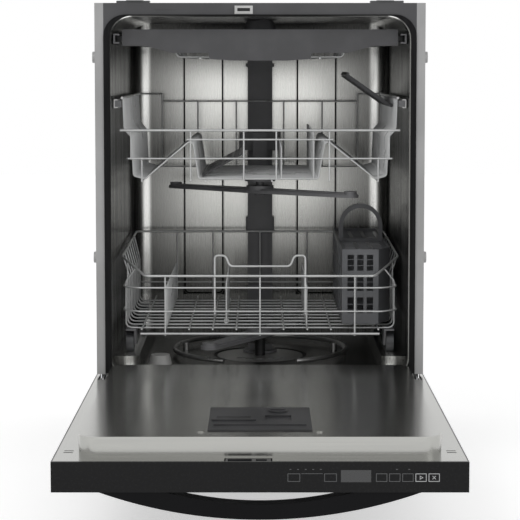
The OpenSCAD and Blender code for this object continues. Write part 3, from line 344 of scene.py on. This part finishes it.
armPlastic = mouldedPlastic("greyFilledPolypropylene", "#767678", "#818183", rough=0.4)
wheelPlastic = mouldedPlastic("greyAcetalWheels", "#4a4b4d", "#58595b", rough=0.35)
tinePlastic = mouldedPlastic("darkGreyTineRow", "#333335", "#3e3e40")
sumpPlastic = mouldedPlastic("blackFilledPolypropylene", "#1c1c1d", "#262627", rough=0.5)
whitePlastic = mouldedPlastic("offWhiteNylonValve", "#c9c8c2", "#d8d7d1")
floatPlastic = mouldedPlastic("paleGreyPolypropylene", "#a3a3a1", "#b4b4b2")
dispenserPlastic = mouldedPlastic("darkGreyDispenserPlastic", "#2b2b2d", "#363638", rough=0.35)

paint(tubSheet(), "tub")
paint(panSheet(), "inner_door_panel")
paint(blanketFleece(), "insulation_blanket")
paint(consolePlastic(), "control_console", "touch_keys")
paint(displayFilm(), "display_window")
paint(rubber, "door_gasket")
paint(sideZinc, "side_frame")
paint(topPaint, "top_frame")
paint(zincSteel, "base_frame", "junction_box")
paint(legZinc, "levelling_legs", "worktop_brackets", "hinge_brackets", "hinge_arms")
paint(strikeZinc, "latch_strike", "filter_plate", "heater_element", "upper_rack_rails")
paint(blackPaint, "toe_kick", "outer_door_panel")
paint(handlePaint, "door_handle")
paint(columnPlastic, "water_column", "docking_port", "ceiling_spray_head", "spray_manifold")
paint(panelPlastic, "third_rack_panel")
paint(basketPlastic, "silverware_basket", "front_basket_lid", "rear_basket_lid")
paint(armPlastic, "filter_cylinder", "lower_spray_arm", "upper_spray_arm", "third_rack_rails",
      "third_rack_runners", "upper_rack_runners", "wheel_carriers")
paint(wheelPlastic, "front_wheels", "rear_wheels")
paint(tinePlastic, "upper_tine_row", "cup_shelf")
paint(sumpPlastic, "sump", "circulation_pump", "drain_pump")
paint(whitePlastic, "inlet_valve")
paint(floatPlastic, "overfill_float")
paint(dispenserPlastic, "door_latch", "dispenser_body", "dispenser_lid", "rinse_aid_cap")
paint(rackCoat, "lower_rack_floor", "lower_rack_tines", "lower_rack_front", "lower_rack_back",
      "lower_rack_sides", "lower_tine_row", "upper_rack_basket", "upper_rack_front", "upper_rack_back",
      "third_rack_tray")
print("finishes made:", len(bpy.data.materials))


def wireForm(name, routes, thick, bend=0, sides=3):
    # bends round wires: each route is extruded point by point, its corners are rounded, then it gets its
    # thickness; all sizes in millimetres
    clearSelection()
    for count, route in enumerate(routes):
        points = [place(*p) for p in route]
        bpy.ops.mesh.primitive_plane_add(size=0.001, location=points[0])
        if count == 0:
            bpy.ops.object.mode_set(mode="EDIT")
        bpy.ops.mesh.merge(type="CENTER")  # leaves one corner point to draw the wire from
        for a, b in zip(points, points[1:]):
            bpy.ops.mesh.extrude_region_move(TRANSFORM_OT_translate={"value": b - a})
    if bend:
        bpy.ops.mesh.select_all(action="SELECT")
        bpy.ops.mesh.bevel(offset=bend / 1000, segments=4, affect="VERTICES", clamp_overlap=True)
    bpy.ops.object.mode_set(mode="OBJECT")
    bpy.ops.object.transform_apply(location=True)
    bpy.ops.object.convert(target="CURVE")
    wire = bpy.context.object.data
    wire.bevel_depth = thick / 2000
    wire.bevel_resolution = sides
    wire.use_fill_caps = True
    bpy.ops.object.convert(target="MESH")
    bpy.ops.object.shade_smooth_by_angle(angle=math.radians(50))
    made = bpy.context.object
    made.name = name
    return made


def mirrored(route):
    # a route over to the other side, for a wire that runs right across
    return route + [(-x, y, z) for x, y, z in reversed(route)]


def crossWire(half, y, z):
    return [(-half, y, z), (half, y, z)]


def longWire(x, start, end, z):
    return [(x, start, z), (x, end, z)]


def upright(x, y, low, high):
    return [(x, y, low), (x, y, high)]


lowerRack = {
    "wire": 3.2, "rim": 4.6, "handle": 3.8, "frontY": 38, "backY": 520, "half": 252, "floorZ": 262,
    "frontRimZ": 362, "backRimZ": 400, "frontHalf": 213, "rimHalf": 264, "cornerY": 153, "cornerDrop": 14,
    "wallY": 82, "wallPitch": 43, "wallCount": 10, "wallBend": 14, "wallFoot": 7,
    "longPitch": 44, "longCount": 5, "longEnd": 3,
    "tineY": 91.5, "tinePitch": 25, "tineCount": 16, "tineRise": {-176: 76, 0: 58, 88: 76},
    "frontX": (-176, 0, 176), "frontFoot": 12, "lowFrontDrop": 8, "backX": (-176, -100, 0, 100, 176),
    "backFoot": 4, "backBarRise": 30, "sideDrops": (22, 66), "sideCornerY": 61, "endStep": 1.2,
    "arch": ((84, 0), (64, 0), (56, 20)), "archFoot": 72, "archStep": 2.8,
}


def rimAt(y):
    # where the side rim runs at a depth: across and up
    r = lowerRack
    frontPoint = (r["frontHalf"] + 1, r["frontRimZ"])
    cornerPoint = (r["rimHalf"], r["backRimZ"] - r["cornerDrop"])
    rearPoint = (r["rimHalf"], r["backRimZ"])
    start, end, ends = r["frontY"], r["cornerY"], (frontPoint, cornerPoint)
    if y >= r["cornerY"]:
        start, end, ends = r["cornerY"], r["backY"], (cornerPoint, rearPoint)
    share = (y - start) / (end - start)
    return tuple(a + (b - a) * share for a, b in zip(*ends))


def lowerRackFloor():
    # cross wires bent up into the side walls, long wires on top of them, and rows of tines
    r = lowerRack
    half, z, end = r["half"], r["floorZ"], r["longEnd"]
    low = z - r["wire"] + 0.3  # the cross wires lie under the long ones and sink a little into them
    walls, runs = [], []
    for i in range(r["wallCount"]):
        y = r["wallY"] + r["wallPitch"] * i
        across, up = rimAt(y)
        walls.append(mirrored([(across, y, up), (half, y, r["frontRimZ"] - r["wallBend"]), (half, y, z + 3),
                               (half - r["wallFoot"], y, low)]))
    for n in range(-r["longCount"], r["longCount"] + 1):
        runs.append(longWire(r["longPitch"] * n, r["frontY"] + end, r["backY"] - end, z))
    for x, rise in r["tineRise"].items():
        runs += [upright(x, r["tineY"] + r["tinePitch"] * i, z, z + rise) for i in range(r["tineCount"])]
    floor = joinPieces("lowerRackFloorWires", [wireForm("crossWires", walls, r["wire"], bend=5),
                                               wireForm("longWires", runs, r["wire"])])
    dress(floor, "lower_rack", rackCoat, "coated_wire", "lower_rack_floor", "lower_rack_tines")


def lowerRackWalls():
    # the rim, the level wires round the sides, the end frames and the arch that is the rack's handle
    r = lowerRack
    frontY, backY, z, top, backTop = r["frontY"], r["backY"], r["floorZ"], r["frontRimZ"], r["backRimZ"]
    out = r["half"] + r["wire"] - 0.5  # the level wires lie outside the walls and sink a little into them
    rim = mirrored([(0, backY, backTop), (r["rimHalf"] - 2, backY, backTop),
                    (r["rimHalf"], r["cornerY"], backTop - r["cornerDrop"]), (r["frontHalf"], frontY, top)])
    level = [mirrored([(out, backY - r["longEnd"], top - drop), (out, r["sideCornerY"], top - drop),
                       (r["frontHalf"] + 13, frontY, top - drop)]) for drop in r["sideDrops"]]
    y = frontY + r["archStep"]
    arch = [(-r["arch"][0][0], y, top - r["archFoot"])] + [(-x, y, backTop - drop) for x, drop in r["arch"]]
    ends = [upright(x, frontY + r["endStep"], z - r["frontFoot"], top + 1) for x in r["frontX"]]
    ends.append(crossWire(r["half"], backY, z + r["backBarRise"]))
    ends += [upright(x, backY - r["endStep"], z - r["backFoot"], backTop + 1) for x in r["backX"]]
    lowFront = crossWire(r["frontHalf"] + 9, frontY, z - r["lowFrontDrop"])
    walls = joinPieces("lowerRackWallWires", [
        wireForm("rimWire", [rim], r["rim"], bend=9),
        wireForm("lowFrontWire", [lowFront], r["rim"]),
        wireForm("sideWires", level, r["wire"], bend=8),
        wireForm("handleWire", [mirrored(arch)], r["handle"], bend=6),
        wireForm("uprights", ends, r["wire"])])
    dress(walls, "lower_rack", rackCoat, "coated_wire", "lower_rack_front", "lower_rack_back",
          "lower_rack_sides")


lowerRackFloor()
lowerRackWalls()
print("lower rack bent")

upperRack = {
    "wire": 3.2, "rim": 4.6, "frontY": 38, "backY": 520, "floorZ": 541, "rimZ": 697, "rimHalf": 254,
    "combY": 59.6, "combPitch": 21.5, "combCount": 21, "longX": (-218, -100, 22, 90, 218),
    "tineRise": {39.6: 60, 99.6: 88}, "endStep": 1.2,
    "frontX": (-128, -30, 30, 128), "frontTop": 633, "frontRimHalf": 258, "frontBar": (135, 615),
    "shoulder": (244, 580), "shoulderX": 218, "frontSideX": 238,
    "backX": (50, 131, 206), "backTop": 677, "backHalf": 222, "hookX": 256,
}


def combProfile():
    # one wire from rim to rim: down each side, over the two ridges that cups lean on, and along the floor
    r = upperRack
    z = r["floorZ"]
    wall = [(r["rimHalf"], r["rimZ"] - 6), (252, 634), (238, 618), (235, z + 6), (214, z)]
    ridges = [(128, 610), (120, 608), (108, z), (-114, z), (-124, 608), (-132, 610)]
    return wall + ridges + [(-x, h) for x, h in reversed(wall)]


def upperRackWires():
    r = upperRack
    z, rimZ, frontY, backY = r["floorZ"], r["rimZ"], r["frontY"], r["backY"]
    low = z - r["wire"] + 0.5  # the long wires lie under the combs and sink a little into them
    profile = combProfile()
    combs, straight = [], []
    for i in range(r["combCount"]):
        y = r["combY"] + r["combPitch"] * i
        combs.append([(x, y, h) for x, h in profile])
        if i % 2 == 0:
            straight += [upright(x, y, z, z + rise) for x, rise in r["tineRise"].items()]
    straight += [longWire(x, frontY + 3, backY - 2, low) for x in r["longX"]]
    rims = [longWire(side * r["rimHalf"], frontY + 3, backY - 2, rimZ - 5.5) for side in (-1, 1)]
    basket = joinPieces("upperRackBasketWires", [
        wireForm("combWires", combs, r["wire"], bend=5), wireForm("tineWires", straight, r["wire"]),
        wireForm("sideRims", rims, r["rim"])])
    (barHalf, barZ), (shoulderHalf, shoulderZ), y = r["frontBar"], r["shoulder"], frontY + r["endStep"]
    frontEnd = [crossWire(barHalf, frontY, barZ), crossWire(shoulderHalf, frontY, shoulderZ)]
    frontEnd += [upright(x, y, z - 2, r["frontTop"]) for x in r["frontX"]]
    outerX = max(r["backX"])
    backEnd = [crossWire(outerX, backY, r["backTop"] - 1), crossWire(r["backHalf"], backY, low)]
    for side in (-1, 1):
        frontEnd += [upright(side * r["frontSideX"], y, shoulderZ - 2, r["frontTop"]),
                     upright(side * r["shoulderX"], y, z - 2, shoulderZ + 2)]
        backEnd.append([(side * x, backY, rimZ - 5.5) for x in (outerX, r["hookX"])])
        for x in r["backX"]:
            top = rimZ - 4.5 if x == outerX else r["backTop"]  # the outer ones reach the rim
            backEnd.append(upright(side * x, backY - r["endStep"], low - 1, top))
    frontWires = joinPieces("upperRackFrontWires", [
        wireForm("frontWires", frontEnd, r["wire"]),
        wireForm("frontRim", [crossWire(r["frontRimHalf"], frontY, r["frontTop"] - 1)], r["rim"])])
    backWires = wireForm("upperRackBackWires", backEnd, r["wire"])
    dress(basket, "upper_rack", rackCoat, "coated_wire", "upper_rack_basket")
    dress(frontWires, "upper_rack", rackCoat, "coated_wire", "upper_rack_front")
    dress(backWires, "upper_rack", rackCoat, "coated_wire", "upper_rack_back")


upperRackWires()
print("upper rack bent")

thirdRack = {
    "wire": 3.2, "frontY": 38, "backY": 520, "half": 248, "lowZ": 787, "rimZ": 810.5, "combY": 61.6,
    "combPitch": 43, "combCount": 11, "wellHalf": 160, "wellDrop": 20, "floorX": (-200, 200),
    "wellX": (-110, 0, 110),
}


def thirdRackWires():
    r = thirdRack
    half, low, frontY, backY = r["half"], r["lowZ"], r["frontY"], r["backY"]
    combs = []
    for i in range(r["combCount"]):
        y = r["combY"] + r["combPitch"] * i
        combs.append(mirrored([(-half, y, r["rimZ"] - 1.5), (2 - half, y, low + 4), (-r["wellHalf"], y, low),
                               (8 - r["wellHalf"], y, low - r["wellDrop"])]))
    runs = [longWire(x, frontY + 3.3, backY - 4, low - 1.4) for x in r["floorX"]]
    runs += [longWire(x, frontY + 3.3, backY - 4, low - r["wellDrop"] - 2.4) for x in r["wellX"]]
    runs += [longWire(side * half, frontY + 17, backY - 2, r["rimZ"]) for side in (-1, 1)]
    runs.append(crossWire(half + 1, backY - 3, r["rimZ"]))
    tray = joinPieces("thirdRackTrayWires", [wireForm("trayCombs", combs, r["wire"], bend=5),
                                             wireForm("trayRuns", runs, r["wire"])])
    dress(tray, "third_rack", rackCoat, "coated_wire", "third_rack_tray")


thirdRackWires()
print("third rack bent")

basketMesh = {
    "x": (153.6, 245.6), "y": (66, 496), "z": 268.7, "bar": 1.5, "inset": 1.3, "rows": (14, 56, 98),
    "rowTall": 34, "firstColumn": 132, "pitch": 21, "wide": 15, "count": 17, "frontWindow": (8, 60),
}


def basketLattice():
    # the fine mesh moulded into each window of the basket: one upright and two crossbars
    b = basketMesh
    (left, right), (frontY, backY), inset = b["x"], b["y"], b["inset"]
    walls = (left + inset, right - inset)
    routes = []
    for row in b["rows"]:
        low, high = b["z"] + row, b["z"] + row + b["rowTall"]
        for h in (low + b["rowTall"] / 3, low + b["rowTall"] * 2 / 3):
            routes += [longWire(x, b["firstColumn"] - 1, backY - 2, h) for x in walls]
            routes.append([(left + x, frontY + inset, h) for x in b["frontWindow"]])
        for i in range(b["count"]):
            y = b["firstColumn"] + b["wide"] / 2 + b["pitch"] * i
            routes += [upright(x, y, low - 1, high + 1) for x in walls]
    lattice = wireForm("silverwareBasketMesh", routes, b["bar"], sides=1)
    dress(lattice, "lower_rack", basketPlastic, "slate_plastic")


basketLattice()
print("basket mesh added")

tineRow = {
    "wire": 3.2, "rod": 4, "x": -64, "z": 265.9, "y": (98, 460), "firstTine": 112, "pitch": 25, "count": 14,
    "rise": 74, "seatY": (125, 254, 426), "seat": 9.8, "seatHalf": 2,
}


def lowerTines():
    # tines on a rod that turns in three round seats
    r = tineRow
    x, z, half = r["x"], r["z"], r["seatHalf"]
    tines = [upright(x, r["firstTine"] + r["pitch"] * i, z, z + r["rise"]) for i in range(r["count"])]
    seats = [longWire(x, y - half, y + half, z) for y in r["seatY"]]
    row = joinPieces("lowerTineRowWires", [
        wireForm("rod", [longWire(x, *r["y"], z)], r["rod"]), wireForm("tines", tines, r["wire"]),
        wireForm("seats", seats, r["seat"], sides=6)])
    dress(row, "lower_tine_row", rackCoat, "coated_wire", "lower_tine_row")


lowerTines()
print("tine row bent")

cornerSeal = {"x": 274.8, "y": 6, "z": 193.5, "across": 8, "deep": 7, "tall": 25, "edge": 0.8}


def cornerSeals():
    # rubber blocks that close the gap between the gasket and the round of the sill
    c = cornerSeal
    blocks = []
    for side in (-1, 1):
        clearSelection()
        bpy.ops.mesh.primitive_cube_add(size=1, location=place(side * c["x"], c["y"], c["z"]))
        bpy.context.object.scale = (c["across"] / 1000, c["deep"] / 1000, c["tall"] / 1000)
        bpy.ops.object.transform_apply(location=True, scale=True)
        bpy.ops.object.mode_set(mode="EDIT")
        bpy.ops.mesh.select_all(action="SELECT")
        bpy.ops.mesh.bevel(offset=c["edge"] / 1000, segments=2)
        bpy.ops.object.mode_set(mode="OBJECT")
        blocks.append(bpy.context.object)
    dress(joinPieces("doorCornerSeals", blocks), "root", rubber, "door_seal_rubber")


cornerSeals()
print("corner seals set")

consolePrint = {
    "faceY": -701.98, "keyFaceY": -702.38, "deep": 0.12, "line": 0.7, "brightLine": 0.9, "keyZ": (151, 163),
    "plain": ((40, 58), (93, 111), (168, 184), (187, 203), (206, 222)), "bright": ((225, 241), (244, 260)),
    "lampZ": 169, "lamps": (44, 55, 66, 77, 88, 198, 216), "lamp": (2.6, 0.9), "link": (2, 0.6),
    "start": 6, "startLine": 0.8, "cancel": (6.8, 0.9),
}


def around(x, z, wide, tall):
    # the corners of a shape about its middle
    return (x - wide / 2, x + wide / 2), (z - tall / 2, z + tall / 2)


def printedShape(corners, face="keyFaceY", line=None, verts=4, turn=0):
    # one flat printed bar or triangle on the console's face, hollow where line is given
    c = consolePrint
    (x0, x1), (z0, z1) = corners
    middle = place((x0 + x1) / 2, c[face], (z0 + z1) / 2)
    facing = {"orient_axis": "Y", "orient_type": "GLOBAL", "center_override": middle}
    clearSelection()
    bpy.ops.mesh.primitive_circle_add(vertices=verts, radius=math.sqrt(0.5) if verts == 4 else 0.58,
                                      fill_type="NGON", location=middle, rotation=(math.radians(90), 0, 0))
    bpy.ops.object.mode_set(mode="EDIT")
    bpy.ops.transform.rotate(value=math.radians(45 if verts == 4 else turn), **facing)
    bpy.ops.transform.resize(value=((x1 - x0) / 1000, 1, (z1 - z0) / 1000), orient_type="GLOBAL",
                             center_override=middle)
    if verts == 4 and turn:
        bpy.ops.transform.rotate(value=math.radians(turn), **facing)
    if line:
        bpy.ops.mesh.inset(thickness=line / 1000, depth=0)
        bpy.ops.mesh.delete(type="FACE")
        bpy.ops.mesh.select_all(action="SELECT")
    bpy.ops.mesh.extrude_region_move(TRANSFORM_OT_translate={"value": (0, -c["deep"] / 1000, 0)})
    bpy.ops.mesh.select_all(action="SELECT")
    bpy.ops.mesh.normals_make_consistent(inside=False)
    bpy.ops.object.mode_set(mode="OBJECT")
    bpy.ops.object.transform_apply(location=True, rotation=True)
    return bpy.context.object


def consoleMarks():
    # key outlines, a line that links two keys, status marks, and the symbols for start and cancel
    c = consolePrint
    plain = [printedShape((span, c["keyZ"]), line=c["line"]) for span in c["plain"]]
    gap, thin = c["link"]
    span = (c["plain"][0][1] + gap, c["plain"][1][0] - gap)
    plain.append(printedShape((span, (c["keyZ"][1] - thin, c["keyZ"][1])), face="faceY"))
    plain += [printedShape(around(x, c["lampZ"], *c["lamp"]), face="faceY") for x in c["lamps"]]
    bright = [printedShape((span, c["keyZ"]), line=c["brightLine"]) for span in c["bright"]]
    startX, cancelX = [sum(span) / 2 for span in c["bright"]]
    z = sum(c["keyZ"]) / 2
    bright.append(printedShape(around(startX, z, c["start"], c["start"]), line=c["startLine"], verts=3,
                               turn=-90))
    bright += [printedShape(around(cancelX, z, *c["cancel"]), turn=turn) for turn in (45, -45)]
    greyInk = coatedMetal("greyPrintedInk", "#5f6061", "#6c6d6e", rough=0.5, peel=0.002)
    whiteInk = coatedMetal("whitePrintedInk", "#bdbebf", "#cfd0d1", rough=0.5, peel=0.002)
    dress(joinPieces("greyKeyPrint", plain), "door", greyInk, "key_print")
    dress(joinPieces("whiteKeyPrint", bright), "door", whiteInk, "key_print")


consoleMarks()
print("console printed")

studio = {  # metres, degrees and watts; a lamp has its place, its size and its power
    "distance": 3.2279, "eyeHeight": 0.7521, "lens": 122.76, "sensor": 36, "pitch": 4.613, "shiftY": -0.1,
    "floorSize": 14, "floorBack": 2, "floorDrop": 0.0005, "floorGlow": 0.5, "fill": 0.55, "aim": (0, 0, 0.5),
    "lamps": {"keyLight": ((-1.6, -2.6, 2.6), (1.6, 1.2), 20),
              "fillLight": ((1.9, -2.4, 1.6), (1.4, 1.4), 10)},
}


def seenRays(tree):
    # 1 for what the camera, a reflection or a clear piece sees, 0 for light that falls on the object
    rays = addNode(tree, "ShaderNodeLightPath").outputs
    seen = rays["Is Camera Ray"]
    for kind in ("Is Glossy Ray", "Is Transmission Ray"):
        seen = addNode(tree, "ShaderNodeMath", {0: seen, 1: rays[kind]}, operation="MAXIMUM").outputs[0]
    return seen


def floorPaint():
    # matte pale paint, plain white to the camera and to reflections so the object alone carries tone
    made, tree, shader = startMaterial("matteWhiteFloor", Base_Color=hexColour("#f4f4f4"), Roughness=0.9)
    glow = addNode(tree, "ShaderNodeEmission", Color=hexColour("#ffffff"))
    strength = addNode(tree, "ShaderNodeMapRange", {"Value": seenRays(tree)}, To_Max=studio["floorGlow"])
    tree.links.new(strength.outputs["Result"], glow.inputs["Strength"])
    both = addNode(tree, "ShaderNodeAddShader", {0: shader.outputs["BSDF"], 1: glow.outputs["Emission"]})
    tree.links.new(both.outputs["Shader"], tree.nodes["Material Output"].inputs["Surface"])
    return made


def studioFloor():
    s = studio
    clearSelection()
    bpy.ops.mesh.primitive_plane_add(size=s["floorSize"],
                                     location=(0, s["floorBack"], cadBox[0].z - s["floorDrop"]))
    floor = bpy.context.object
    floor.name = "studioFloor"
    floor.data.materials.append(floorPaint())


def studioLights():
    for name, (where, size, power) in studio["lamps"].items():
        bpy.ops.object.light_add(type="AREA", location=where)
        lamp = bpy.context.object
        lamp.name = name
        lamp.data.shape = "RECTANGLE"
        lamp.data.size, lamp.data.size_y = size
        lamp.data.energy = power
        lamp.rotation_euler = (Vector(studio["aim"]) - Vector(where)).to_track_quat("-Z", "Y").to_euler()


def studioWorld():
    world = bpy.data.worlds.new("paleStudio")
    bpy.context.scene.world = world
    world.use_nodes = True
    tree = world.node_tree
    tree.nodes.clear()
    fill = addNode(tree, "ShaderNodeBackground", Color=hexColour("#ffffff"), Strength=studio["fill"])
    shown = addNode(tree, "ShaderNodeBackground", Color=hexColour("#ffffff"), Strength=1.0)
    mix = addNode(tree, "ShaderNodeMixShader", {0: seenRays(tree), 1: fill.outputs[0], 2: shown.outputs[0]})
    addNode(tree, "ShaderNodeOutputWorld", {"Surface": mix.outputs[0]})


def studioCamera():
    s = studio
    bpy.ops.object.camera_add()
    cam = bpy.context.object
    cam.name = "camera"
    cam.data.lens = s["lens"]
    cam.data.sensor_width = s["sensor"]
    cam.data.shift_y = s["shiftY"]
    cam.data.dof.use_dof = False
    cam.location = (0, tubFront - s["distance"], s["eyeHeight"])
    cam.rotation_euler = (math.radians(90 - s["pitch"]), 0, 0)
    bpy.context.scene.camera = cam


studioFloor()
studioWorld()
studioLights()
studioCamera()
bpy.context.scene.view_settings.view_transform = "Standard"
print("studio lit")
